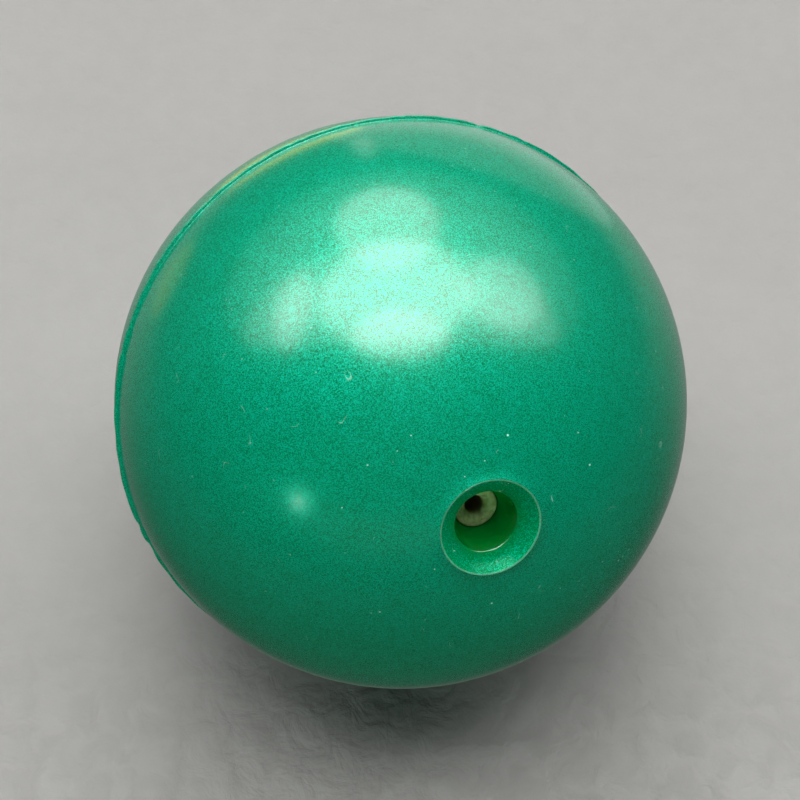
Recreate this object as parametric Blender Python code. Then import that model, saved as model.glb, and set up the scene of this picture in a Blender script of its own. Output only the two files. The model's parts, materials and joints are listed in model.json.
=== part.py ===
"""A soft juggling ball: two moulded half shells welded at a raised seam, a valve seat let into one of
them, the seat's rubber plug, and the thick liquid that weights it inside.

The row's frame has its origin at the ball's centre and +Z up, with the ball as it lies on a table.
Two directions from the centre place the pieces: the pole of the seam, and the valve's axis, which
leans a few degrees from it. Each turned piece is drawn as a half section about its own +Z.
"""

import math

import bmesh
import bpy
from mathutils import Vector

# Overall sizes, in metres.
BALL_DIAMETER = 0.070
WALL = 0.0026
JOIN_GAP = 0.0003  # between two pieces that are welded or bonded together
RUN_GAP = 0.0003  # round the plug, which slides

# The seam, and the weld bead that stands up along it.
SEAM_POLE_DEG = (48.6, -68.0)  # angle from +Z, then angle round +Z from +X
BEAD_HEIGHT = 0.0004
BEAD_WIDTH = 0.0009  # over both halves, with the gap between them

# The valve: a dish, then a tapered well down to the plug's face.
VALVE_AXIS_DEG = (55.5, -70.2)
MOUTH_RADIUS = 0.0057
DISH_DEPTH = 0.0013
WELL_RADIUS = 0.0036
LIP_RADIUS = 0.0004
PLUG_FACE_DEPTH = 0.0049

# The seat's inner parts: a flange bonded under the skin, and a sleeve that grips the plug.
FLANGE_RADIUS = 0.0088
FLANGE_THICKNESS = 0.0013
SLEEVE_WALL = 0.0018
SLEEVE_PAST_PLUG = 0.0005

# The plug: a head that rests on the sleeve's shoulder, a stem, and a blind, countersunk hole for a needle.
HEAD_RADIUS = 0.0025
HEAD_LENGTH = 0.0016
HEAD_CHAMFER = 0.0002
STEM_RADIUS = 0.0019
STEM_LENGTH = 0.0062
NEEDLE_HOLE_RADIUS = 0.00105
NEEDLE_HOLE_DEPTH = 0.0052
NEEDLE_HOLE_CONE = 0.0006
COUNTERSINK_RADIUS = 0.0018
COUNTERSINK_DEPTH = 0.0006

# The fill lies level in the bottom of the hollow.
FILL_LEVEL = -0.003  # height of its flat top from the ball's centre
FILL_EDGE_ROUND = 0.0008

# Facets.
SKIN_STEPS = 64
SMALL_STEPS = 40
SHARP_ANGLE_DEG = 35

# Guides, which aren't part of the ball.
CUTTER_OVERRUN = 0.003
ARROW_LENGTH = 0.045

RADIUS = BALL_DIAMETER / 2
INNER_RADIUS = RADIUS - WALL
MOUTH_HEIGHT = math.sqrt(RADIUS**2 - MOUTH_RADIUS**2)  # of the mouth's edge along the valve's axis
PLUG_FACE = MOUTH_HEIGHT - PLUG_FACE_DEPTH
HEAD_BOTTOM = PLUG_FACE - HEAD_LENGTH
PLUG_TIP = HEAD_BOTTOM - STEM_LENGTH
SHOULDER = HEAD_BOTTOM - RUN_GAP


def clear_scene():
    for thing in list(bpy.data.objects):
        bpy.data.objects.remove(thing)


def direction(polar_deg, azimuth_deg):
    """The unit vector at an angle from +Z and an angle round +Z from +X."""
    polar, azimuth = math.radians(polar_deg), math.radians(azimuth_deg)
    return Vector(
        (
            math.sin(polar) * math.cos(azimuth),
            math.sin(polar) * math.sin(azimuth),
            math.cos(polar),
        )
    )


def axis_empty(name, along):
    """An empty at the ball's centre with its +Z along a direction."""
    empty = bpy.data.objects.new(name, None)
    empty.empty_display_size = ARROW_LENGTH
    empty.empty_display_type = "SINGLE_ARROW"
    empty.rotation_euler = along.to_track_quat("Z", "Y").to_euler()
    bpy.context.scene.collection.objects.link(empty)
    return empty


def finish(name, colour, roughness, coat=0.0, metallic=0.0):
    material = bpy.data.materials.new(name)
    material.use_nodes = True
    shader = material.node_tree.nodes["Principled BSDF"]
    shader.inputs["Base Color"].default_value = (*colour, 1)
    shader.inputs["Roughness"].default_value = roughness
    shader.inputs["Coat Weight"].default_value = coat
    shader.inputs["Metallic"].default_value = metallic
    material.diffuse_color = (*colour, 1)
    return material


def arc(centre, radius, start_deg, end_deg, count):
    """Points on an arc of a half section. Angles are from the axis, +Z, towards +X."""
    angles = [math.radians(start_deg + (end_deg - start_deg) * i / count) for i in range(count + 1)]
    return [(centre[0] + radius * math.sin(a), centre[1] + radius * math.cos(a)) for a in angles]


def turned(name, section, closed, steps, parent, material):
    """A solid turned about its own +Z from a half section of (radius, height) points."""
    mesh = bpy.data.meshes.new(name)
    shape = bmesh.new()
    points = [shape.verts.new((radius, 0, height)) for radius, height in section]
    ends = list(zip(points, points[1:] + points[:1]))
    for start, end in ends if closed else ends[:-1]:
        shape.edges.new((start, end))
    bmesh.ops.spin(
        shape, geom=shape.verts[:] + shape.edges[:], cent=(0, 0, 0), axis=(0, 0, 1),
        angle=math.tau, steps=steps,
    )
    bmesh.ops.remove_doubles(shape, verts=shape.verts[:], dist=1e-6)
    bmesh.ops.dissolve_degenerate(shape, edges=shape.edges[:], dist=1e-7)
    bmesh.ops.recalc_face_normals(shape, faces=shape.faces[:])
    shape.to_mesh(mesh)
    shape.free()
    mesh.shade_smooth()
    mesh.set_sharp_from_angle(angle=math.radians(SHARP_ANGLE_DEG))
    mesh.materials.append(material)
    solid = bpy.data.objects.new(name, mesh)
    solid.parent = parent
    bpy.context.scene.collection.objects.link(solid)
    return solid


def half_shell_section():
    """From the pole down the outside, round this half's share of the bead, and back up the inside."""
    rim = JOIN_GAP / 2
    bead_top = BEAD_WIDTH / 2
    bead_start_deg = 90 - math.degrees(math.asin(bead_top / RADIUS))
    outside = arc((0, 0), RADIUS, 0, bead_start_deg, 16)
    foot_radius = outside[-1][0]
    rise, width = RADIUS + BEAD_HEIGHT - foot_radius, bead_top - rim
    bead = [
        (foot_radius + rise * math.sin(angle), bead_top - width * (1 - math.cos(angle)))
        for angle in (math.radians(30 * step) for step in (1, 2, 3))
    ]
    inner_start_deg = 90 - math.degrees(math.asin(rim / INNER_RADIUS))
    inside = arc((0, 0), INNER_RADIUS, inner_start_deg, 0, 10)
    return outside + bead + inside


def valve_seat_section():
    """From the mouth's edge down the outside of the seat, and back up through the sleeve and the well."""
    bonded_radius = INNER_RADIUS - JOIN_GAP  # the flange's top follows the skin's inside
    flange_edge = math.sqrt(bonded_radius**2 - FLANGE_RADIUS**2)
    flange_bottom = flange_edge - FLANGE_THICKNESS
    throat = STEM_RADIUS + RUN_GAP
    sleeve_radius = HEAD_RADIUS + RUN_GAP + SLEEVE_WALL
    sleeve_end = PLUG_TIP - SLEEVE_PAST_PLUG
    flange_from_deg = math.degrees(math.asin(MOUTH_RADIUS / bonded_radius))
    flange_to_deg = math.degrees(math.asin(FLANGE_RADIUS / bonded_radius))
    well_top = MOUTH_HEIGHT - DISH_DEPTH
    return [
        (MOUTH_RADIUS, MOUTH_HEIGHT),
        *arc((0, 0), bonded_radius, flange_from_deg, flange_to_deg, 3),
        (FLANGE_RADIUS, flange_bottom),
        (sleeve_radius, flange_bottom),
        (sleeve_radius, sleeve_end),
        (throat, sleeve_end),
        (throat, SHOULDER),
        (HEAD_RADIUS + RUN_GAP, SHOULDER),
        (HEAD_RADIUS + RUN_GAP, PLUG_FACE),
        (WELL_RADIUS, well_top - LIP_RADIUS),
        *arc((WELL_RADIUS + LIP_RADIUS, well_top - LIP_RADIUS), LIP_RADIUS, -60, 0, 2),
    ]


def valve_plug_section():
    """From the needle hole's bottom up to the face, over the head and down the stem to its round tip."""
    hole_bottom = PLUG_FACE - NEEDLE_HOLE_DEPTH
    return [
        (0, hole_bottom),
        (NEEDLE_HOLE_RADIUS, hole_bottom + NEEDLE_HOLE_CONE),
        (NEEDLE_HOLE_RADIUS, PLUG_FACE - COUNTERSINK_DEPTH),
        (COUNTERSINK_RADIUS, PLUG_FACE),
        (HEAD_RADIUS - HEAD_CHAMFER, PLUG_FACE),
        (HEAD_RADIUS, PLUG_FACE - HEAD_CHAMFER),
        (HEAD_RADIUS, HEAD_BOTTOM),
        (STEM_RADIUS, HEAD_BOTTOM),
        *arc((0, PLUG_TIP + STEM_RADIUS), STEM_RADIUS, 90, 180, 4),
    ]


def fill_section():
    """A level top, a small round at its edge, and the inside of the skin below."""
    fill_radius = INNER_RADIUS - JOIN_GAP
    top_deg = math.degrees(math.acos((FILL_LEVEL - FILL_EDGE_ROUND) / fill_radius))
    edge = math.sqrt(fill_radius**2 - FILL_LEVEL**2) - FILL_EDGE_ROUND
    return [(0, FILL_LEVEL), (edge, FILL_LEVEL), *arc((0, 0), fill_radius, top_deg, 180, 12)]


def valve_cutter(parent, material):
    """The round hole for the seat, straight through the skin along the valve's axis."""
    radius = MOUTH_RADIUS + JOIN_GAP
    low = math.sqrt(INNER_RADIUS**2 - radius**2) - CUTTER_OVERRUN
    high = RADIUS + CUTTER_OVERRUN
    section = [(0, high), (radius, high), (radius, low), (0, low)]
    cutter = turned("valve_hole_cutter", section, False, SMALL_STEPS, parent, material)
    cutter.hide_render = True
    cutter.display_type = "WIRE"
    return cutter


def main():
    clear_scene()
    pearl = finish("pearl_green_vinyl", (0.0, 0.26, 0.13), 0.28, coat=0.6)
    clear_green = finish("clear_green_vinyl", (0.0, 0.20, 0.05), 0.25, coat=0.4)
    natural_rubber = finish("natural_rubber", (0.36, 0.33, 0.16), 0.6)
    silicone = finish("silicone_liquid", (0.62, 0.66, 0.60), 0.15)

    seam_pole = direction(*SEAM_POLE_DEG)
    valve_axis = direction(*VALVE_AXIS_DEG)
    valve_side = axis_empty("seam_pole_valve_side", seam_pole)
    plain_side = axis_empty("seam_pole_plain_side", -seam_pole)
    valve = axis_empty("valve_axis", valve_axis)

    shell = half_shell_section()
    with_valve = turned("valve_half_shell", shell, False, SKIN_STEPS, valve_side, pearl)
    hole = with_valve.modifiers.new("valve hole", "BOOLEAN")
    hole.object = valve_cutter(valve, pearl)
    hole.operation = "DIFFERENCE"
    hole.solver = "EXACT"
    turned("plain_half_shell", shell, False, SKIN_STEPS, plain_side, pearl)
    turned("valve_seat", valve_seat_section(), True, SMALL_STEPS, valve, clear_green)
    turned("valve_plug", valve_plug_section(), False, SMALL_STEPS, valve, natural_rubber)
    turned("liquid_fill", fill_section(), False, SMALL_STEPS, None, silicone)


main()
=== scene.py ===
# %% [markdown]
# # A pearl green juggling ball
#
# A soft stage ball is two vinyl bowls welded rim to rim. The weld leaves a thin raised double line
# all the way round, and one bowl carries a round valve seat with a rubber plug sunk in it. The ball
# is weighted through the plug's hole with a thick liquid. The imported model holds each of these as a
# plain faceted solid. This lesson makes their fine surfaces in the same places.

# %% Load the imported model
import json
import math

import bpy
import numpy as np
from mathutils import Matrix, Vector


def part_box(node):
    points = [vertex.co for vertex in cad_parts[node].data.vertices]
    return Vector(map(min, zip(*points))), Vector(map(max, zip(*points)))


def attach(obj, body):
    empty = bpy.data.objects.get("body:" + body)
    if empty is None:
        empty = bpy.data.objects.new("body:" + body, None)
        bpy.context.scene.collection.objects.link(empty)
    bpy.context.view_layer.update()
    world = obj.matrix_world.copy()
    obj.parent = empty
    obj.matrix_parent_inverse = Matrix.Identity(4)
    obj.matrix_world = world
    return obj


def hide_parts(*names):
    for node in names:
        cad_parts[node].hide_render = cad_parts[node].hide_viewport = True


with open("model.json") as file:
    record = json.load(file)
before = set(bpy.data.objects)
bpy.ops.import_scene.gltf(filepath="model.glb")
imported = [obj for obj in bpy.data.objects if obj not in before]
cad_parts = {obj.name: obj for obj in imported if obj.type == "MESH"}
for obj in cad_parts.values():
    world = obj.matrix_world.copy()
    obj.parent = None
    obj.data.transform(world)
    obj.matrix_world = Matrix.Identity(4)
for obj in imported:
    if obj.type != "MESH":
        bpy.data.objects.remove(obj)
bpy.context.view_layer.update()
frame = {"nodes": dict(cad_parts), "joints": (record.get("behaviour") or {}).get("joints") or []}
print("CAD nodes:", sorted(frame["nodes"]))

# %% [markdown]
# ## Where everything is
#
# Every surface here is turned about one of two lines through the ball's centre: the valve's axis,
# which the plug slides along, and the pole of the seam, which leans a few degrees from it. The
# first is the plug's joint. The second is read off the plain bowl, whose surface has its middle
# straight below its pole. Sizes are read off the solids too, so a new pack needs no new numbers.

# %% Read the two directions and the skin's sizes
MM = 0.001


def unit(vector):
    return np.asarray(vector, float) / np.linalg.norm(vector)


def corners_of(node):
    """All vertices of a CAD node, as rows of x, y, z in metres."""
    mesh = frame["nodes"][node].data
    corners = np.empty(3 * len(mesh.vertices), np.float32)
    mesh.vertices.foreach_get("co", corners)
    return corners.reshape(-1, 3).astype(float)


def surface_middle(node):
    """The middle of a node's surface: the mean of its triangles' centres, weighted by their areas."""
    mesh = frame["nodes"][node].data
    centres = np.empty(3 * len(mesh.polygons), np.float32)
    areas = np.empty(len(mesh.polygons), np.float32)
    mesh.polygons.foreach_get("center", centres)
    mesh.polygons.foreach_get("area", areas)
    return areas @ centres.reshape(-1, 3) / areas.sum()


valve_axis = unit(next(joint["axis"] for joint in frame["joints"] if joint["name"] == "plug_pull"))
seam_pole = -unit(surface_middle("plain_half_shell"))

plain_corners = corners_of("plain_half_shell")
ball_radius = float((-plain_corners @ seam_pole).max())
inner_radius = float(np.linalg.norm(plain_corners, axis=1).min())
bead_height = float(np.linalg.norm(plain_corners, axis=1).max()) - ball_radius
lean_deg = math.degrees(math.acos(valve_axis @ seam_pole))
print(f"ball {2 * ball_radius / MM:.2f} mm across, skin {(ball_radius - inner_radius) / MM:.2f} mm thick")
print(f"bead {bead_height / MM:.2f} mm proud, valve {lean_deg:.1f} degrees off the seam's pole")


# %% Read the valve's sizes
def turned_section(node):
    """Distances of a node's corners from the valve's axis, and their heights along it."""
    corners = corners_of(node)
    heights = corners @ valve_axis
    return np.linalg.norm(corners - np.outer(heights, valve_axis), axis=1), heights


CLOSE = 0.005 * MM  # corners nearer than this to a plane or a cylinder lie on it
seat_radii, seat_heights = turned_section("valve_seat")
mouth_height = seat_heights.max()
mouth_radius = seat_radii[seat_heights > mouth_height - CLOSE].max()
flange_radius = seat_radii.max()
flange_bottom = seat_heights[seat_radii > flange_radius - CLOSE].min()
sleeve_end = seat_heights.min()
sleeve_radius = seat_radii[seat_heights < sleeve_end + CLOSE].max()
throat_radius = seat_radii.min()

plug_radii, plug_heights = turned_section("valve_plug")
plug_face = plug_heights.max()
plug_tip = plug_heights.min()
head_radius = plug_radii.max()
head_bottom = plug_heights[plug_radii > head_radius - CLOSE].min()
stem_radius = plug_radii[plug_heights < head_bottom - CLOSE].max()
countersink_radius = plug_radii[plug_heights > plug_face - CLOSE].min()
needle_radius = plug_radii[(plug_heights > head_bottom) & (plug_radii < countersink_radius - CLOSE)].max()
hole_bottom = plug_heights[(plug_radii < CLOSE) & (plug_heights > plug_tip + CLOSE)].max()
print(f"mouth {2 * mouth_radius / MM:.2f} mm wide, plug {(mouth_height - plug_face) / MM:.2f} mm below it")
print(f"plug {2 * head_radius / MM:.2f} mm wide, needle hole {2 * needle_radius / MM:.2f} mm wide")

# %% [markdown]
# ## Surfaces from half sections
#
# A turned piece is a half section carried once round an axis. The skin needs one thing more: its
# first rings lie round the valve and its last along the seam, and those circles have different
# axes. So each point of a section also says how far it leans, from 0 on the valve's axis to 1 on
# the seam's pole, and the rings between drift from one axis to the other.


# %% Turn a section into rings of points
def rings_of(section, around, axis=valve_axis, far_axis=None):
    """One ring for each row (distance, height, lean) of the section, with `around` points in it.

    The ring's axis is the unit vector of (1 - lean) * axis + lean * far_axis. Its point at angle a
    is distance * (cos a * hinge + sin a * side) + height * axis. The hinge is square to both axes
    and the side is square to the ring's axis and the hinge.
    """
    far_axis = axis if far_axis is None else far_axis
    hinge = np.cross(axis, far_axis)
    if np.linalg.norm(hinge) < 1e-6:
        hinge = np.cross(axis, np.eye(3)[np.argmin(np.abs(axis))])
    hinge = unit(hinge)
    lean = section[:, 2:3]
    axes = (1 - lean) * axis + lean * far_axis
    axes /= np.linalg.norm(axes, axis=1, keepdims=True)
    sides = np.cross(axes, hinge)
    angles = np.linspace(0, 2 * np.pi, around, endpoint=False)[None, :, None]
    spokes = np.cos(angles) * hinge + np.sin(angles) * sides[:, None, :]
    return section[:, 0, None, None] * spokes + section[:, 1, None, None] * axes[:, None, :]


def rounded(corners, arc_step_deg=12):
    """A section through corners (distance, height, fillet), each turned on an arc of its fillet.

    The arc touches both sides of the corner at fillet / tan(half the corner's angle) from it, and
    its points swing evenly about its centre. A point just outside each end keeps the side flat.
    """
    rows = []
    for before, corner, after in zip(np.roll(corners, 1, 0), corners, np.roll(corners, -1, 0)):
        point, fillet = corner[:2], corner[2]
        if fillet == 0:
            rows.append(point[None])
            continue
        back, ahead = unit(before[:2] - point), unit(after[:2] - point)
        half_angle = math.acos(np.clip(back @ ahead, -1, 1)) / 2
        reach = fillet / math.tan(half_angle)
        centre = point + unit(back + ahead) * fillet / math.sin(half_angle)
        swing = math.pi - 2 * half_angle
        steps = np.linspace(0, 1, 2 + int(swing / math.radians(arc_step_deg)))[:, None]
        start, end = point + back * reach - centre, point + ahead * reach - centre
        turn = (np.sin((1 - steps) * swing) * start + np.sin(steps * swing) * end) / math.sin(swing)
        rows += [(point + back * reach * 1.2)[None], centre + turn, (point + ahead * reach * 1.2)[None]]
    return np.concatenate(rows)


def leaning(points, lean):
    """Section rows (distance, height, lean) from points that all lean alike, or each by its own."""
    return np.column_stack([points, np.broadcast_to(lean, len(points))])


def sphere_arc(radius, angles):
    """Section points on a sphere about the centre, at angles from the axis."""
    return radius * np.column_stack([np.sin(angles), np.cos(angles)])


# %% Turn rings of points into a closed piece
def piece_of(name, rings, poles=False):
    """A mesh of quads between neighbouring rings, with its faces pointing out.

    The last ring joins the first. With poles, the two end rings are single points on the axis
    instead, each with a fan of triangles round it. Where the volume inside comes out negative,
    which is a sixth of the sum of a . (b x c) over triangles, the faces are turned round.
    """
    count, around = rings.shape[:2]
    column = np.arange(around)
    beside = (column + 1) % around
    if poles:
        points = np.concatenate([rings[0, :1], rings[1:-1].reshape(-1, 3), rings[-1, :1]])
        low = 1 + around * np.arange(count - 3)[:, None]
        high = low + around
        last = len(points) - 1
        first_fan = np.stack([0 * column, 1 + beside, 1 + column], 1)
        last_fan = np.stack([0 * column + last, last - around + column, last - around + beside], 1)
        fans = np.concatenate([first_fan, last_fan])
    else:
        points = rings.reshape(-1, 3)
        low = around * np.arange(count)[:, None]
        high = around * ((np.arange(count) + 1) % count)[:, None]
        fans = np.empty((0, 3), int)
    quads = np.stack([low + column, low + beside, high + beside, high + column], -1).reshape(-1, 4)
    triangles = np.concatenate([quads[:, :3], quads[:, [0, 2, 3]], fans])
    a, b, c = points[triangles].transpose(1, 0, 2)
    volume = float((a * np.cross(b, c)).sum() / 6)
    if volume < 0:
        quads, fans = quads[:, ::-1], fans[:, ::-1]
    mesh = bpy.data.meshes.new(name)
    mesh.from_pydata(points.tolist(), [], [*quads.tolist(), *fans.tolist()])
    mesh.validate()
    mesh.shade_smooth()
    piece = bpy.data.objects.new(name, mesh)
    bpy.context.scene.collection.objects.link(piece)
    print(f"{name}: {len(triangles)} triangles round {abs(volume) / MM**3 / 1000:.2f} cm3")
    return piece


# %% [markdown]
# ## The hand of the mould
#
# Blown and welded vinyl is never a perfect sphere. Its skin runs a few hundredths of a millimetre
# in and out over a centimetre or two, and the weld wanders and has small nicks where the flash was
# trimmed. Round the valve, the welded seat pushes the skin up in a low swell. Waves and swell depend
# only on the direction from the centre, so the two bowls and the seat meet as they should. A handful
# of seeded waves is enough, and their bends show in the reflections.

# %% Give the skin its waves and swell, and the weld its nicks
waves = np.random.default_rng(70)
WAVE_COUNT = 14
wave_directions = waves.normal(size=(WAVE_COUNT, 3))
wave_directions /= np.linalg.norm(wave_directions, axis=1, keepdims=True)
wave_counts = waves.uniform(2.5, 11, WAVE_COUNT)  # radians of wave from the centre out to the skin
wave_starts = waves.uniform(0, 2 * np.pi, WAVE_COUNT)
SKIN_WAVE = 0.018 * MM

MOUTH_SWELL = 0.42 * MM
SWELL_REACH = 0.85 * MM
mouth_angle = math.asin(mouth_radius / ball_radius)

NICK_COUNT = 26
nick_angles = waves.uniform(0, 2 * np.pi, NICK_COUNT)
nick_widths = waves.uniform(0.15, 0.6, NICK_COUNT) * MM / ball_radius
nick_depths = waves.uniform(0.15, 0.55, NICK_COUNT)
BEAD_WANDER = 0.05 * MM
BEAD_UNEVEN = (0.12, 0.08)  # shares of its height, for its slower and its quicker wave
WANDER_REACH = 1.5 * MM  # how far from the seam its wandering is felt


def with_skin_waves(points):
    """Scales each point by 1 + (the waves + the swell round the mouth) / the ball's radius.

    A wave is sin(count * direction . wave + start) / sqrt(count). The swell dies off on both sides
    of the mouth's circle as exp(-arc / reach).
    """
    directions = points / np.linalg.norm(points, axis=-1, keepdims=True)
    phases = directions @ wave_directions.T * wave_counts + wave_starts
    waving = SKIN_WAVE * (np.sin(phases) / np.sqrt(wave_counts)).sum(-1)
    arcs = ball_radius * np.abs(np.arccos((directions @ valve_axis).clip(-1, 1)) - mouth_angle)
    swell = MOUTH_SWELL * np.exp(-arcs / SWELL_REACH)
    return points * (1 + (waving + swell)[..., None] / ball_radius)


def with_worn_seam(points):
    """Shifts points near the seam along its pole, and lowers the bead where it is nicked.

    The shift is three waves of the angle round the pole, and dies off with distance from the seam
    as exp(-(height / reach)^2). What stands out past the sphere loses the sum of each nick's depth
    times exp(-(angle from the nick / its width)^2), and rises and sinks a little in two more waves.
    """
    hinge = unit(np.cross(valve_axis, seam_pole))
    side = np.cross(seam_pole, hinge)
    heights = points @ seam_pole
    angles = np.arctan2(points @ side, points @ hinge)
    wander = np.sin(9 * angles + 0.7) + 0.6 * np.sin(23 * angles) + 0.4 * np.sin(41 * angles + 2)
    shift = BEAD_WANDER * wander * np.exp(-((heights / WANDER_REACH) ** 2))
    apart = (angles[..., None] - nick_angles + np.pi) % (2 * np.pi) - np.pi
    worn = (nick_depths * np.exp(-((apart / nick_widths) ** 2))).sum(-1).clip(0, 0.9)
    uneven = BEAD_UNEVEN[0] * np.sin(13 * angles + 1.1) + BEAD_UNEVEN[1] * np.sin(57 * angles)
    radii = np.linalg.norm(points, axis=-1)
    proud = (radii - ball_radius).clip(0)
    shrunk = (radii - proud * (worn + uneven).clip(-0.1, 0.9)) / radii
    return points * shrunk[..., None] + shift[..., None] * seam_pole


walk = np.linspace(0, 2 * np.pi, 720)
equator = ball_radius * np.column_stack([np.cos(walk), np.sin(walk), 0 * walk])
off_sphere = np.linalg.norm(with_skin_waves(equator), axis=1) - ball_radius
print(f"round the equator the skin runs {off_sphere.min() / MM:.3f} to {off_sphere.max() / MM:.3f} mm off")

# %% [markdown]
# ## The two bowls
#
# Seen in section, a bowl is an outside arc, one ridge of the double bead, a thin rim face and an
# inside arc. The plain bowl closes at a pole. The valve's bowl ends instead at a round hole, whose
# edge has a hair's breadth of rounding, and there its rings have drifted onto the valve's axis. A
# Boolean could cut that hole, but it would leave long thin triangles that spoil the reflections.

# %% Draw the seam's ridge in section
SKIN_AROUND = 600
SEAM_GAP = 0.04 * MM  # half the groove between the two bowls
BEAD_WIDTH = 0.30 * MM  # of one bowl's ridge
GROOVE_DEPTH = 0.15 * MM  # of the groove's floor above the sphere


def rim_corners():
    """From the ridge's foot on the sphere, over the ridge, and down the rim face to the inside."""
    foot_height = BEAD_WIDTH + 0.07 * MM
    crest = ball_radius + bead_height
    return np.array([
        (math.sqrt(ball_radius**2 - (2 * foot_height) ** 2), 2 * foot_height, 0),
        (ball_radius, foot_height, 0.10 * MM),
        (crest, BEAD_WIDTH * 0.85, 0.08 * MM),
        (crest, BEAD_WIDTH * 0.25, 0.06 * MM),
        (ball_radius + GROOVE_DEPTH, SEAM_GAP, 0),
        (inner_radius, SEAM_GAP, 0.25 * MM),
        (math.sqrt(inner_radius**2 - (2 * foot_height) ** 2), 2 * foot_height, 0),
    ])


rim = rounded(rim_corners())
rim_start_angle = math.atan2(*rim[0])
rim_end_angle = math.atan2(*rim[-1])
print(f"the rim takes {len(rim)} rings and starts {math.degrees(rim_start_angle):.2f} degrees from the pole")

# %% Make the plain bowl
OUTSIDE_RINGS = 60
INSIDE_RINGS = 30
outside_angles = np.linspace(0, rim_start_angle, OUTSIDE_RINGS)[:-1]
inside_angles = np.linspace(rim_end_angle, 0, INSIDE_RINGS)[1:]
plain_section = np.concatenate([
    sphere_arc(ball_radius, outside_angles), rim, sphere_arc(inner_radius, inside_angles)
])
plain_rings = rings_of(leaning(plain_section, 0), SKIN_AROUND, axis=-seam_pole)
plain_half = piece_of("plain_half_skin", with_skin_waves(with_worn_seam(plain_rings)), poles=True)

# %% Make the valve's bowl
MOUTH_GAP = 0.015 * MM
HOLE_EDGE_ROUND = 0.04 * MM
hole_radius = mouth_radius + MOUTH_GAP
hole_outer_height = math.sqrt(ball_radius**2 - hole_radius**2)
hole_inner_height = math.sqrt(inner_radius**2 - hole_radius**2)
hole_corners = np.array([
    (*sphere_arc(inner_radius, np.array([math.asin(hole_radius / inner_radius) + 0.02]))[0], 0),
    (hole_radius, hole_inner_height, 0.3 * MM),
    (hole_radius, hole_outer_height, HOLE_EDGE_ROUND),
    (*sphere_arc(ball_radius, np.array([math.asin(hole_radius / ball_radius) + 0.02]))[0], 0),
])
hole_edge = rounded(hole_corners)


def drifting_arc(radius, start, end, count, first_lean, crowding=1.0):
    """Sphere points between two angles, both left out, whose lean eases from one axis to the other.

    Point t of 0 to 1 lies at share t ** crowding of the way, so more than 1 crowds them at the start.
    """
    share = np.linspace(0, 1, count + 2)[1:-1] ** crowding
    eased = share * share * (3 - 2 * share)
    lean = first_lean + (1 - 2 * first_lean) * eased
    return leaning(sphere_arc(radius, start + (end - start) * share), lean)


hole_outer_angle = math.atan2(*hole_edge[-1])
hole_inner_angle = math.atan2(*hole_edge[0])
valve_section = np.concatenate([
    leaning(hole_edge, 0),
    drifting_arc(ball_radius, hole_outer_angle, rim_start_angle, OUTSIDE_RINGS, first_lean=0, crowding=1.6),
    leaning(rim, 1),
    drifting_arc(inner_radius, rim_end_angle, hole_inner_angle, INSIDE_RINGS, first_lean=1),
])
valve_rings = rings_of(valve_section, SKIN_AROUND, far_axis=seam_pole)
valve_half = piece_of("valve_half_skin", with_skin_waves(with_worn_seam(valve_rings)))

# %% [markdown]
# ## The valve's seat
#
# The seat is a soft, clearer plug of vinyl let into the skin: a shallow dish, then a round lip, then
# a well that narrows down to the rubber plug. Below the skin it spreads into a bonded flange and
# runs on as a sleeve that grips the plug. All of it is one half section with a fillet at each
# corner. Its bright thin lines are those fillets catching the light, and the mouth's rim also carries a
# painted highlight in its finish, so the fillets' sizes matter more than anything else here.

# %% Make the seat
SMALL_AROUND = 288
RIM_STANDS = 0.02 * MM  # how far the mouth's rim stands above the skin
RIM_LAND = 0.16 * MM
DISH_HOLLOW = 0.06 * MM  # how far the dish bows below a straight cone
PLUG_SQUEEZE = 0.04 * MM  # what is left between the plug's head and its bore
FLANGE_BOND = 0.10 * MM
well_radius = seat_radii[(seat_heights > plug_face + 1 * MM) & (seat_radii > head_radius)].min()
lip_height = seat_heights[seat_radii < mouth_radius - 1 * MM].max()
bore_radius = head_radius + PLUG_SQUEEZE
bonded_radius = inner_radius - FLANGE_BOND
flange_angle = math.asin(flange_radius / bonded_radius)
flange_edge = sphere_arc(bonded_radius, np.array([flange_angle]))[0]
mouth_inside = sphere_arc(bonded_radius, np.array([math.asin(mouth_radius / bonded_radius)]))[0]
mid_dish = ((mouth_radius + well_radius) / 2, (mouth_height + lip_height) / 2 - DISH_HOLLOW)
print(f"well {2 * well_radius / MM:.2f} mm wide, lip {(mouth_height - lip_height) / MM:.2f} mm down")

seat_section = rounded(np.array([
    (mouth_radius, mouth_height + RIM_STANDS, 0.04 * MM),
    (mouth_radius - RIM_LAND, mouth_height + RIM_STANDS, 0.13 * MM),
    (*mid_dish, 1.6 * MM),
    (well_radius, lip_height + 0.05 * MM, 0.34 * MM),
    (well_radius - 0.42 * MM, plug_face + 1.5 * MM, 2.5 * MM),
    (bore_radius, plug_face + 0.25 * MM, 0.15 * MM),
    (bore_radius, head_bottom - 0.02 * MM, 0.12 * MM),
    (throat_radius, head_bottom - 0.02 * MM, 0.12 * MM),
    (throat_radius, sleeve_end, 0.4 * MM),
    (sleeve_radius, sleeve_end, 0.5 * MM),
    (sleeve_radius, flange_bottom, 0.9 * MM),
    (flange_radius, flange_bottom, 0.4 * MM),
    (*flange_edge, 0.3 * MM),
    (*mouth_inside, 0.5 * MM),
]))


def refined(section, longest):
    """Adds evenly spaced points wherever a section's neighbours are too far apart."""
    pieces = []
    for start, end in zip(section[:-1], section[1:]):
        cuts = max(1, math.ceil(np.linalg.norm(end - start) / longest))
        pieces.append(start + (end - start) * np.arange(cuts)[:, None] / cuts)
    return np.concatenate([*pieces, section[-1:]])


seat_section = refined(seat_section, 0.25 * MM)
seat = piece_of("valve_seat_skin", with_skin_waves(rings_of(leaning(seat_section, 0), SMALL_AROUND)))

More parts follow.
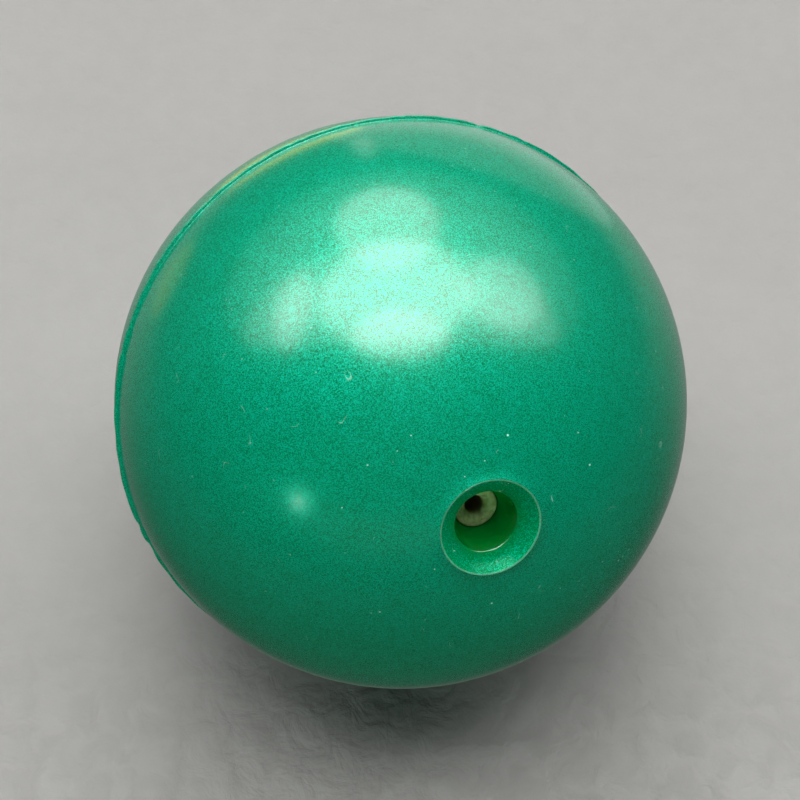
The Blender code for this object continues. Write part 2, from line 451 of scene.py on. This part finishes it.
# %% [markdown]
# ## The plug
#
# The plug is cut from pale natural rubber: a short head, a stem, and a countersunk blind hole that
# a filling needle passes through. Its face carries the small knocks of that needle. They are dents
# in the mesh, because a dent of a tenth of a millimetre still shows its own shadow this deep in the
# well.

# %% Make the plug
HOLE_CONE = 0.6 * MM
COUNTERSINK_DEPTH = 0.6 * MM
FACE_NICKS = (  # distance from the axis, angle from downhill in degrees, width, depth
    (1.95 * MM, 12, 0.13 * MM, 0.20 * MM),
    (1.60 * MM, 28, 0.20 * MM, 0.05 * MM),
    (1.90 * MM, -38, 0.16 * MM, 0.04 * MM),
    (2.05 * MM, -75, 0.20 * MM, 0.05 * MM),
    (1.80 * MM, 140, 0.18 * MM, 0.04 * MM),
)
plug_section = rounded(np.array([
    (0, hole_bottom, 0),
    (needle_radius, hole_bottom + HOLE_CONE, 0.3 * MM),
    (needle_radius, plug_face - COUNTERSINK_DEPTH, 0.7 * MM),
    (countersink_radius, plug_face, 0.5 * MM),
    (head_radius, plug_face, 0.22 * MM),
    (head_radius, head_bottom, 0.12 * MM),
    (stem_radius, head_bottom, 0.08 * MM),
    (stem_radius, plug_tip, 0.9 * stem_radius),
    (0, plug_tip, 0),
]))
plug_rings = rings_of(leaning(refined(plug_section, 0.08 * MM), 0), SMALL_AROUND)
downhill = unit((valve_axis[2] * valve_axis) - np.array([0, 0, 1]))
across_hill = np.cross(valve_axis, downhill)
for distance, angle_deg, width, depth in FACE_NICKS:
    turn = math.radians(angle_deg)
    nick = distance * (math.cos(turn) * downhill + math.sin(turn) * across_hill) + plug_face * valve_axis
    closeness = np.exp(-((np.linalg.norm(plug_rings - nick, axis=-1) / width) ** 2))
    plug_rings -= depth * closeness[..., None] * valve_axis
plug = piece_of("valve_plug_rubber", plug_rings, poles=True)

# %% [markdown]
# ## The liquid
#
# The weight of the ball is a thick, milky silicone that lies level in the bottom of the hollow. It
# wets the vinyl, so its surface climbs a little at the wall, and it still holds a slow swirl from
# the last throw. A fluid simulation would give the same shape for far more work: the climb dies
# off from the wall as an exponential, and the swirl is a spiral wave.

# %% Make the liquid
CLIMB = 0.8 * MM
CLIMB_LENGTH = 1.5 * MM
SWIRL = 0.10 * MM
SWIRL_SPACING = 8 * MM
up = np.array([0.0, 0.0, 1.0])
fill_low, fill_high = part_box("liquid_fill")
fill_level = fill_high.z
fill_radius = -fill_low.z
shore = math.sqrt(fill_radius**2 - (fill_level + CLIMB) ** 2)
surface_distances = np.linspace(0, shore - 0.15 * MM, 90)
surface_heights = fill_level + CLIMB * np.exp((surface_distances - shore) / CLIMB_LENGTH)
shore_angle = math.acos((fill_level + 0.6 * CLIMB) / fill_radius)
fill_section = np.concatenate([
    np.column_stack([surface_distances, surface_heights]),
    sphere_arc(fill_radius, np.linspace(shore_angle, np.pi, 60)),
])
fill_rings = rings_of(leaning(fill_section, 0), SMALL_AROUND, axis=up)
fill_distances = np.linalg.norm(fill_rings[..., :2], axis=-1)
fill_angles = np.arctan2(fill_rings[..., 1], fill_rings[..., 0])
outward = fill_distances / shore
on_surface = fill_rings[..., 2] > fill_level - CLOSE
swirl_wave = np.sin(2 * np.pi * fill_distances / SWIRL_SPACING - 2 * fill_angles)
fill_rings[..., 2] += 4 * SWIRL * on_surface * outward * (1 - outward) * swirl_wave
fill = piece_of("liquid_fill_silicone", fill_rings, poles=True)

# %% [markdown]
# ## A small language for finishes
#
# A finish is a network of nodes, and its maths is easier to read as Python. `Socket` wraps one
# output: adding, multiplying or taking one from 1 adds the Math node that does it. `Finish` holds
# one material and has a single method that adds any other node.


# %% Wrap sockets and materials
class Socket:
    """One output of a node. Arithmetic on it adds Math nodes to the same material."""

    def __init__(self, finish, output):
        self.finish = finish
        self.output = output

    def maths(self, operation, *values):
        return self.finish.node("Math", {"operation": operation}, dict(enumerate(values)))

    def __add__(self, other):
        return self.maths("ADD", self, other)

    __radd__ = __add__

    def __mul__(self, other):
        return self.maths("MULTIPLY", self, other)

    __rmul__ = __mul__

    def __sub__(self, other):
        return self.maths("SUBTRACT", self, other)

    def __rsub__(self, other):
        return self.maths("SUBTRACT", other, self)

    def __abs__(self):
        return self.maths("ABSOLUTE", self)

    def between(self, low, high):
        """Eases from 0 to 1 as this value goes from low to high."""
        return self.finish.node("MapRange", {"interpolation_type": "SMOOTHSTEP"}, {0: self, 1: low, 2: high})


class Finish:
    """A procedural material: one Principled shader and the nodes that feed it."""

    def __init__(self, name, **constants):
        self.material = bpy.data.materials.new(name)
        self.material.use_nodes = True
        self.tree = self.material.node_tree
        self.shader = self.tree.nodes["Principled BSDF"]
        for socket, value in constants.items():
            self.shader.inputs[socket.replace("_", " ")].default_value = value
        self.place = self.node("TexCoord", {}, {}, "Object")

    def feed(self, target, value):
        """Links a Socket to an input, or sets the input to a number, a vector or a colour."""
        if isinstance(value, Socket):
            self.tree.links.new(value.output, target)
        elif target.type == "RGBA" and len(value) == 3:
            target.default_value = (*value, 1)
        else:
            target.default_value = value

    def node(self, kind, settings, inputs, output=0):
        """Adds a node, makes its settings, feeds its inputs, and gives one output as a Socket."""
        made = self.tree.nodes.new("ShaderNode" + kind)
        for setting, value in settings.items():
            setattr(made, setting, value)
        for key, value in inputs.items():
            self.feed(made.inputs[key], value)
        return Socket(self, made.outputs[output])

    def noise(self, size, detail, distortion=0.0):
        """Cloudy noise whose patches are about `size` metres across."""
        inputs = {"Vector": self.place, "Scale": 1 / size, "Detail": detail, "Distortion": distortion}
        return self.node("TexNoise", {}, inputs)

    def cells(self, size, output):
        """Voronoi cells about `size` metres across: the distance from a seed, or a random colour."""
        return self.node("TexVoronoi", {}, {"Vector": self.place, "Scale": 1 / size}, output)

    def vector(self, operation, *values, output=0):
        """Adds a Vector Math node. Its output 0 is a vector, and "Value" is a number."""
        return self.node("VectorMath", {"operation": operation}, dict(enumerate(values)), output)

    def mix(self, share, first, second):
        """A colour that goes from first to second as share goes from 0 to 1."""
        return self.node("Mix", {"data_type": "RGBA"}, {0: share, 6: first, 7: second}, 2)

    def parts(self, colour):
        """A colour's red, green and blue as three numbers."""
        return [self.node("SeparateColor", {}, {0: colour}, index) for index in range(3)]

    def axes(self):
        """The x, y and z of the place on the piece."""
        return [self.node("SeparateXYZ", {}, {0: self.place}, index) for index in range(3)]

    def bump(self, height, distance, strength, normal=None):
        """A normal tilted by the slope of a height of 0 to 1, which stands for `distance` metres."""
        inputs = {"Height": height, "Distance": distance, "Strength": strength}
        if normal:
            inputs["Normal"] = normal
        return self.node("Bump", {}, inputs)

    def surface(self, **fed):
        """Feeds the shader, and returns the material."""
        for socket, value in fed.items():
            self.feed(self.shader.inputs[socket.replace("_", " ")], value)
        return self.material


# %% [markdown]
# ## Wear on the skin
#
# A used ball carries fine dust, short hair-like scuffs, and a scuffed patch round the valve where
# needles have slipped. Dots are seeds of a cell pattern, kept only in a few cells. A scuff is a
# thin level line of a noise field, kept only inside small patches, so it comes out short and
# curved. Painting them by hand would fix them to one ball and one view.


# %% Write the dust and the scuffs
def dots(finish, spacing, radius, share):
    """A mask of round specks: about `share` of the cells hold one, of up to `radius` metres."""
    distance = finish.cells(spacing, "Distance") * spacing
    luck, size, _ = finish.parts(finish.cells(spacing, "Color"))
    chosen = luck.between(1 - share - 0.01, 1 - share + 0.01)
    edge = (size * 0.7 + 0.3) * radius
    return chosen * (1 - (distance - edge).between(-0.3 * radius, 0.3 * radius))


def scuffs(finish, spacing, width, share, curl):
    """A mask of short curved hairs, `width` metres thick, in about `share` of the cells."""
    field = finish.noise(curl, detail=1.0)
    line = 1 - abs(field - 0.5).between(0.05 * width / curl, 0.20 * width / curl)
    luck, _, _ = finish.parts(finish.cells(spacing, "Color"))
    patch = 1 - finish.cells(spacing, "Distance").between(0.17, 0.32)
    return line * patch * luck.between(1 - share - 0.02, 1 - share + 0.02)


def near_point(finish, point, inner, outer):
    """1 within `inner` metres of a point, easing to 0 at `outer`."""
    gap = finish.vector("DISTANCE", finish.place, tuple(point), output="Value")
    return 1 - gap.between(inner, outer)


# %% [markdown]
# ## Pearl vinyl
#
# Pearl vinyl is a clear green plastic full of mica flakes. Its body is a plain deep green. Flakes
# lying nearly flat flash back a broad, minty light, each one a little differently, which is the
# fine grain at the edge of every highlight. Over them the smooth outer face mirrors the lamps once
# more, white and sharper. One Principled shader holds all three: the metallic share is the flakes,
# with a tilt of its own for each cell, and the coat is the smooth face, which bump doesn't reach.

# %% Write the pearl finish
DYE = (0.0, 0.090, 0.026)
DEEP_DYE = (0.0, 0.074, 0.021)
FLAKE = (0.002, 0.54, 0.355)
FLAKE_EDGE = (0.0, 0.45, 0.38, 1.0)  # what a flake mirrors at a grazing angle, still through the dye
FLAKE_SIZE = 0.075 * MM
FLAKE_TILT = 0.135  # the side of the box that a flake's lean is drawn from
DISH_FLAKE_TILT = 0.22
# Pale colour of dust and scuffs, also used for the painted highlight on the seat's rim.
PALE_SCUFF_AND_RIM_HIGHLIGHT = (0.40, 0.66, 0.55)
powdered = unit((0.695, -0.711, 0.098))  # the spot where the ball has rubbed against a dusty floor


def pearl_flakes(finish, tilt):
    """A random number of 0 to 1 for each flake, and the surface's normal with each flake's own tilt."""
    flake_colour = finish.cells(FLAKE_SIZE, "Color")
    luck, _, _ = finish.parts(flake_colour)
    lean = finish.vector("SUBTRACT", flake_colour, (0.5, 0.5, 0.5))
    lean = finish.vector("MULTIPLY", lean, (tilt, tilt, tilt))
    normal = finish.node("NewGeometry", {}, {}, "Normal")
    normal = finish.vector("NORMALIZE", finish.vector("ADD", normal, lean))
    return luck, normal


def pearl_vinyl():
    finish = Finish(
        "pearl_green_vinyl", Coat_Roughness=0.17, Coat_IOR=1.5,
        Specular_IOR_Level=0.0, Specular_Tint=FLAKE_EDGE,
    )
    luck, tilted = pearl_flakes(finish, FLAKE_TILT)
    clouds = finish.noise(9 * MM, detail=4.0)
    streaks = finish.noise(2.2 * MM, detail=3.0)
    mouth = valve_axis * ball_radius
    worn = 0.35 + 0.65 * near_point(finish, mouth, 8 * MM, 24 * MM)
    dust = dots(finish, 1.5 * MM, 0.13 * MM, 0.60) * worn
    dust = dust + dots(finish, 5.1 * MM, 0.20 * MM, 0.30) * worn
    powdery = near_point(finish, powdered * ball_radius, 2 * MM, 8 * MM)
    powder = dots(finish, 0.72 * MM, 0.14 * MM, 0.45) * powdery
    dust = dust + powder * 0.7
    hairs = scuffs(finish, 2.7 * MM, 0.11 * MM, 0.30, 2.6 * MM) * worn
    marks = (dust + hairs).between(0.0, 1.0)

    dye = finish.mix(clouds, DYE, DEEP_DYE)
    flake_share = (luck + 0.25 * (streaks - 0.5)).between(-0.12, 1.80)
    colour = finish.mix(flake_share, dye, FLAKE)
    colour = finish.mix(marks * 0.85, colour, PALE_SCUFF_AND_RIM_HIGHLIGHT)
    return finish.surface(
        Base_Color=colour,
        Metallic=flake_share * (1 - marks),
        Roughness=0.445 + 0.08 * (streaks - 0.5) + 0.2 * marks,
        Coat_Weight=1 - 0.8 * marks,
        Normal=finish.bump(marks, 0.03 * MM, 0.6, normal=tilted),
    )


# %% [markdown]
# ## The valve's clear vinyl
#
# The seat is the same green with hardly any pearl, and soft enough for light to travel through. Its
# colour turns a darker, yellower green with the depth below the mouth, which is painted shade and
# painted green light bounced round the well. Flakes gather only out in the dish, so the finish also fades
# from pearl to clear with that depth. The rim carries a thin pale line, a painted highlight, and only
# the rim and the lip of the well are glossy.

# %% Write the seat's finish
# The well's green: the clear vinyl, darkened and made yellower as painted shade and painted bounced light.
CLEAR_AND_SHADED_GREEN = (0.0, 0.095, 0.010)
DISH_GREEN = (0.0, 0.122, 0.030)


def seat_vinyl():
    finish = Finish(
        "clear_green_vinyl", Coat_Roughness=0.10, Coat_IOR=1.5,
        Specular_IOR_Level=0.0, Specular_Tint=FLAKE_EDGE,
        Subsurface_Weight=0.55, Subsurface_Scale=1.0 * MM, Subsurface_Radius=(0.3, 1.6, 0.6),
    )
    luck, tilted = pearl_flakes(finish, DISH_FLAKE_TILT)
    along = finish.vector("DOT_PRODUCT", finish.place, tuple(valve_axis), output="Value")
    spot = finish.vector("MULTIPLY", along, tuple(valve_axis))
    across = finish.vector("DISTANCE", finish.place, spot, output="Value")
    rim = across.between(mouth_radius - 0.16 * MM, mouth_radius - 0.08 * MM)
    lip = 1 - abs(across - (well_radius + 0.05 * MM)).between(0.10 * MM, 0.30 * MM)
    depth = mouth_height - along
    # Depth below the mouth, eased: it fades the flakes, and below it paints shade into the well's colour.
    deep_clear_and_shaded = depth.between(0.3 * MM, 1.7 * MM)
    pearl = (1 - deep_clear_and_shaded) * luck.between(0.35, 1.1) * 0.5
    scratches = scuffs(finish, 1.9 * MM, 0.05 * MM, 0.35, 1.1 * MM)
    specks = dots(finish, 1.3 * MM, 0.08 * MM, 0.30)
    marks = (scratches + specks).between(0.0, 1.0) * (1 - deep_clear_and_shaded * 0.7)
    # Painted shade: the well darkens to a yellower green with depth.
    colour = finish.mix(deep_clear_and_shaded, DISH_GREEN, CLEAR_AND_SHADED_GREEN)
    colour = finish.mix(pearl, colour, FLAKE)
    # Painted highlight: a thin pale line round the rounded rim of the mouth.
    colour = finish.mix(rim * 0.14, colour, PALE_SCUFF_AND_RIM_HIGHLIGHT)
    colour = finish.mix(marks * 0.6, colour, PALE_SCUFF_AND_RIM_HIGHLIGHT)
    return finish.surface(
        Base_Color=colour,
        Metallic=pearl,
        Roughness=0.45 + 0.2 * marks,
        Coat_Weight=0.05 + (0.55 * rim + 0.9 * lip) * (1 - marks),
        Normal=finish.bump(marks, 0.03 * MM, 0.6, normal=tilted),
    )


# %% [markdown]
# ## Natural rubber
#
# The plug is unpigmented rubber: a pale khaki with a slightly greasy matt face, faint mottling from
# the mould and specks of grit. Down the countersink and the needle hole it darkens to brown with depth,
# which is painted shade.

# %% Write the plug's finish
RUBBER = (0.21, 0.30, 0.12)
RUBBER_DARK = (0.12, 0.20, 0.06)
# Brown of the grit specks on the face, and of the painted shade down the hole.
GRIT_AND_HOLE_SHADE = (0.120, 0.098, 0.034)


def plug_rubber():
    finish = Finish(
        "natural_rubber", Subsurface_Weight=0.4, Subsurface_Scale=0.6 * MM, Subsurface_Radius=(1.0, 0.9, 0.4),
        Specular_IOR_Level=0.35,
    )
    along = finish.vector("DOT_PRODUCT", finish.place, tuple(valve_axis), output="Value")
    # Painted shade: the countersink and needle hole darken with depth below the face.
    painted_hole_shade = (plug_face - along).between(0.45 * MM, 1.5 * MM)
    mottle = finish.noise(0.5 * MM, detail=4.0)
    grit = dots(finish, 0.55 * MM, 0.05 * MM, 0.25)
    colour = finish.mix(mottle.between(0.35, 0.7), RUBBER, RUBBER_DARK)
    colour = finish.mix(grit * 0.6, colour, GRIT_AND_HOLE_SHADE)
    colour = finish.mix(painted_hole_shade * 0.9, colour, GRIT_AND_HOLE_SHADE)
    grain = finish.noise(0.16 * MM, detail=3.0)
    return finish.surface(
        Base_Color=colour,
        Roughness=0.50 + 0.25 * mottle,
        Normal=finish.bump(grain + mottle, 0.02 * MM, 0.3),
    )


# %% [markdown]
# ## Silicone
#
# The liquid is a milky, slow fluid with a wet surface. Small trapped bubbles make it cloudy, and
# the finest ones stand out as specks just under the surface.

# %% Write the liquid's finish
MILKY = (0.66, 0.72, 0.64)
CLOUDED = (0.50, 0.60, 0.52)
BUBBLE_PALE = (0.85, 0.9, 0.85)


def wet_silicone():
    finish = Finish(
        "silicone_liquid", Coat_Weight=1.0, Coat_Roughness=0.03, Subsurface_Weight=0.7,
        Subsurface_Scale=3.0 * MM, Subsurface_Radius=(1.0, 1.0, 0.8),
    )
    cloud = finish.noise(6 * MM, detail=5.0)
    bubbles = dots(finish, 1.6 * MM, 0.30 * MM, 0.45)
    colour = finish.mix(cloud.between(0.3, 0.7), MILKY, CLOUDED)
    colour = finish.mix(bubbles * 0.4, colour, BUBBLE_PALE)
    return finish.surface(
        Base_Color=colour,
        Roughness=0.18 + 0.12 * cloud,
        Normal=finish.bump(bubbles, 0.06 * MM, 0.7),
    )


# %% Dress the pieces and hand them to their bodies
pearl = pearl_vinyl()
dressing = (
    (valve_half, pearl, "ball", "valve_half_shell", "pearl_skin"),
    (plain_half, pearl, "ball", "plain_half_shell", "pearl_skin"),
    (seat, seat_vinyl(), "ball", "valve_seat", "valve_green"),
    (plug, plug_rubber(), "plug", "valve_plug", "natural_rubber"),
    (fill, wet_silicone(), "fill", "liquid_fill", "silicone_liquid"),
)
for piece, material, body, node, slot in dressing:
    piece.data.materials.append(material)
    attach(piece, body)
    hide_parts(node)
    print(f"{piece.name} in {material.name} rides on {body}")

# %% [markdown]
# ## The table
#
# The ball lies on a sheet of pale grey, finely wrinkled vinyl. The sheet is one turned surface: flat
# round the ball and swept up far away, so that a low camera still sees it and not an empty horizon.
# Its folds are deepest in front of the ball, and there their colour is also darkened along the folds,
# which is painted fold shade. Mirrors don't see it: the room's lower half stands in for its reflection,
# so that the underside of the ball stays dark.

# %% Make the table sheet
FLAT_REACH = 2.2
SWEEP_RADIUS = 0.9
SWEEP_DEG = 75
table_height = -ball_radius - 0.02 * MM
flat_distances = np.concatenate([[0], np.geomspace(0.02, FLAT_REACH, 60)])
sweep_angles = np.radians(np.linspace(0, SWEEP_DEG, 30))[1:]
sheet_section = np.concatenate([
    np.column_stack([flat_distances, 0 * flat_distances + table_height]),
    np.column_stack([
        FLAT_REACH + SWEEP_RADIUS * np.sin(sweep_angles),
        table_height + SWEEP_RADIUS * (1 - np.cos(sweep_angles)),
    ]),
])
SHEET_AROUND = 96
sheet_rings = rings_of(leaning(sheet_section, 0), SHEET_AROUND, axis=up)
sheet_columns = np.arange(SHEET_AROUND)
sheet_rows = SHEET_AROUND * np.arange(len(sheet_section) - 1)[:, None]
next_columns = (sheet_columns + 1) % SHEET_AROUND
sheet_quads = np.stack([
    sheet_rows + sheet_columns, sheet_rows + SHEET_AROUND + sheet_columns,
    sheet_rows + SHEET_AROUND + next_columns, sheet_rows + next_columns,
], -1).reshape(-1, 4)
sheet_mesh = bpy.data.meshes.new("table_sheet")
sheet_mesh.from_pydata(sheet_rings.reshape(-1, 3).tolist(), [], sheet_quads.tolist())
sheet_mesh.shade_smooth()
sheet = bpy.data.objects.new("table_sheet", sheet_mesh)
bpy.context.scene.collection.objects.link(sheet)
sheet.visible_glossy = False
print(f"sheet {2 * sheet_rings[..., 0].max():.1f} m across, {sheet_rings[..., 2].max():.2f} m up at its edge")

# %% Write the sheet's finish
SHEET_GREY = (0.182, 0.178, 0.170)
SHEET_DARK = (0.152, 0.148, 0.141)


def wrinkled_sheet():
    finish = Finish("grey_wrinkled_vinyl", Specular_IOR_Level=0.3)
    patches = finish.noise(18 * MM, detail=4.0)
    mottle = finish.noise(2.6 * MM, detail=4.0)
    folds = finish.noise(4.0 * MM, detail=6.0, distortion=0.5)
    _, forward, _ = finish.axes()
    raked = 1 - forward.between(-1.6 * ball_radius, 0.2 * ball_radius)
    # Random patches and mottle, plus painted fold shade: in front of the ball the colour darkens along the
    # folds.
    shade = 0.5 * patches + 0.3 * mottle + 0.6 * raked * (folds.between(0.40, 0.60) - 0.35)
    colour = finish.mix(shade, SHEET_GREY, SHEET_DARK)
    return finish.surface(
        Base_Color=colour,
        Roughness=0.60 + 0.15 * mottle,
        Normal=finish.bump((folds * 1.2 + mottle * 0.5) * (0.35 + 0.65 * raked), 0.9 * MM, 0.8),
    )


sheet.data.materials.append(wrinkled_sheet())

# %% [markdown]
# ## Light
#
# The ball is a mirror as much as a body, so every lamp is placed by where it shows on it. A big
# soft box hangs overhead, slightly behind, with wider, dimmer ovals round it, one inside the next,
# so that the glow fades out. Two narrower panels make the side glints, and a small lamp low in
# front makes the spark beside the valve. Low panels at the back light the far edge at a grazing
# angle, grey as a window and yellow as warmer things in the room: only mirrors see them, so the
# table stays even. Two fills in front are for matt surfaces only, so they lift the table and the
# dye but leave no reflection. A panel's power follows from the brightness that it should show: an
# area lamp of area A at brightness L gives pi * A * L watts.


# %% Hang the panels
def sky(from_zenith_deg, azimuth_deg):
    """The unit vector at an angle from straight up. Azimuth 0 is behind the ball, 90 on the right."""
    polar, azimuth = math.radians(from_zenith_deg), math.radians(azimuth_deg)
    return Vector((math.sin(polar) * math.sin(azimuth), math.sin(polar) * math.cos(azimuth), math.cos(polar)))


def panel(name, towards, distance, width_deg, height_deg, brightness, colour=(1, 1, 1), seen_by="all"):
    """An oval area lamp facing the ball, sized by the angles that it takes up as seen from the ball.

    It is seen by all, only by "mirrors", or only by "matt" surfaces.
    """
    lamp = bpy.data.lights.new(name, "AREA")
    lamp.shape = "ELLIPSE"
    lamp.size = 2 * distance * math.tan(math.radians(width_deg / 2))
    lamp.size_y = 2 * distance * math.tan(math.radians(height_deg / 2))
    area = math.pi / 4 * lamp.size * lamp.size_y
    lamp.energy = math.pi * area * brightness
    lamp.color = colour
    holder = bpy.data.objects.new(name, lamp)
    holder.location = towards * distance
    holder.rotation_euler = towards.to_track_quat("Z", "Y").to_euler()
    holder.visible_camera = False
    holder.visible_glossy = seen_by != "matt"
    holder.visible_diffuse = seen_by != "mirrors"
    bpy.context.scene.collection.objects.link(holder)
    print(f"{name}: {lamp.energy:.1f} W over {area:.2f} m2")


panel("overhead_box", sky(13, -9), 3.0, 54, 44, 4.0)
panel("side_band", sky(13, 0), 3.05, 94, 22, 1.6)
panel("side_haze", sky(14, 0), 3.06, 118, 40, 1.5)
panel("front_bar", sky(4, 180), 2.9, 36, 19, 5.4)
panel("left_glint", sky(41, -74), 3.0, 28, 14, 3.7)
panel("right_glint", sky(41, 64), 3.0, 28, 30, 2.8)
panel("back_box", sky(42, -6), 3.0, 32, 40, 3.7)
panel("back_glow", sky(30, 0), 3.2, 92, 50, 0.35)
panel("back_haze", sky(31, 0), 3.22, 110, 64, 0.35)
panel("back_edge", sky(32, 0), 3.24, 126, 80, 0.35)
panel("low_window", sky(104, 13), 1.2, 46, 46, 0.36, seen_by="mirrors")
panel("window_bar", sky(90, -7), 1.15, 4, 18, 0.8, seen_by="mirrors")
panel("warm_shelf", sky(114, -17), 1.2, 22, 18, 1.1, colour=(1.0, 0.80, 0.01), seen_by="mirrors")
panel("warm_door", sky(106, -50), 1.2, 16, 14, 0.4, colour=(1.0, 0.75, 0.02), seen_by="mirrors")
panel("small_lamp", sky(79, -143), 1.5, 1.8, 1.8, 30.0)
panel("lamp_halo", sky(78, -143), 1.52, 12, 12, 5.0, colour=(0.03, 1.0, 0.65))
panel("front_fill", sky(50, 180), 2.5, 60, 50, 0.34, seen_by="matt")
panel("low_fill", sky(83, 180), 2.5, 100, 10, 8.5, colour=(0.72, 1.0, 0.84), seen_by="matt")

# %% [markdown]
# ## The room
#
# The room is dark, and a little lighter behind the ball than in front. Below the horizon it has the
# grey of the table in a mirror, pale at the back and dark in front, where the ball's shadow lies.

# %% Fill the room
ROOM_FRONT = (0.012, 0.013, 0.013)
ROOM_BACK = (0.050, 0.055, 0.055)
MIRRORED_SHEET_FRONT = (0.055, 0.057, 0.055)
MIRRORED_SHEET_BACK = (0.34, 0.35, 0.33)
world = bpy.data.worlds.new("studio")
world.use_nodes = True
room = world.node_tree


def eased(source, low, high):
    """A Map Range node that eases from 0 to 1 as one part of the direction goes from low to high."""
    ease = room.nodes.new("ShaderNodeMapRange")
    ease.interpolation_type = "SMOOTHSTEP"
    ease.inputs["From Min"].default_value = low
    ease.inputs["From Max"].default_value = high
    room.links.new(source, ease.inputs["Value"])
    return ease.outputs[0]


def blended(share, first, second):
    """A Mix node between two colours, or between the colours that two other nodes give."""
    blend = room.nodes.new("ShaderNodeMix")
    blend.data_type = "RGBA"
    room.links.new(share, blend.inputs[0])
    for socket, colour in zip((blend.inputs[6], blend.inputs[7]), (first, second)):
        if isinstance(colour, tuple):
            socket.default_value = (*colour, 1)
        else:
            room.links.new(colour, socket)
    return blend.outputs[2]


split = room.nodes.new("ShaderNodeSeparateXYZ")
room.links.new(room.nodes.new("ShaderNodeTexCoord").outputs["Generated"], split.inputs[0])
walls = blended(eased(split.outputs["Y"], -0.25, 0.45), ROOM_FRONT, ROOM_BACK)
below = blended(eased(split.outputs["Y"], 0.0, 0.8), MIRRORED_SHEET_FRONT, MIRRORED_SHEET_BACK)
everything = blended(eased(split.outputs["Z"], -0.42, -0.16), below, walls)
room.links.new(everything, room.nodes["Background"].inputs["Color"])
bpy.context.scene.world = world
print("the room brightens from", ROOM_FRONT[0], "in front to", ROOM_BACK[0], "behind")

# %% [markdown]
# ## Camera
#
# The ball is seen from above the front edge of the table, close enough for the perspective to hide
# a little of its sides. The view transform stays at Standard, so that colours come out as set.

# %% Place the camera
CAMERA_ELEVATION_DEG = 60
CAMERA_DISTANCE = 7 * ball_radius
VIEW_DEG = 22.8
SENSOR_WIDTH = 36  # in millimetres
SHIFT = (-0.001, 0.003125)  # right and up, as shares of the frame's width
camera_data = bpy.data.cameras.new("camera")
camera_data.sensor_width = SENSOR_WIDTH
camera_data.lens = SENSOR_WIDTH / (2 * math.tan(math.radians(VIEW_DEG / 2)))
camera_data.shift_x, camera_data.shift_y = SHIFT
camera_data.clip_start = 0.01
camera = bpy.data.objects.new("camera", camera_data)
camera.location = CAMERA_DISTANCE * sky(90 - CAMERA_ELEVATION_DEG, 180)
camera.rotation_euler = camera.location.to_track_quat("Z", "Y").to_euler()
bpy.context.scene.collection.objects.link(camera)
bpy.context.scene.camera = camera
bpy.context.scene.view_settings.view_transform = "Standard"
bpy.context.scene.view_settings.look = "None"
print(f"camera {CAMERA_DISTANCE:.3f} m away with a {camera_data.lens:.1f} mm lens")
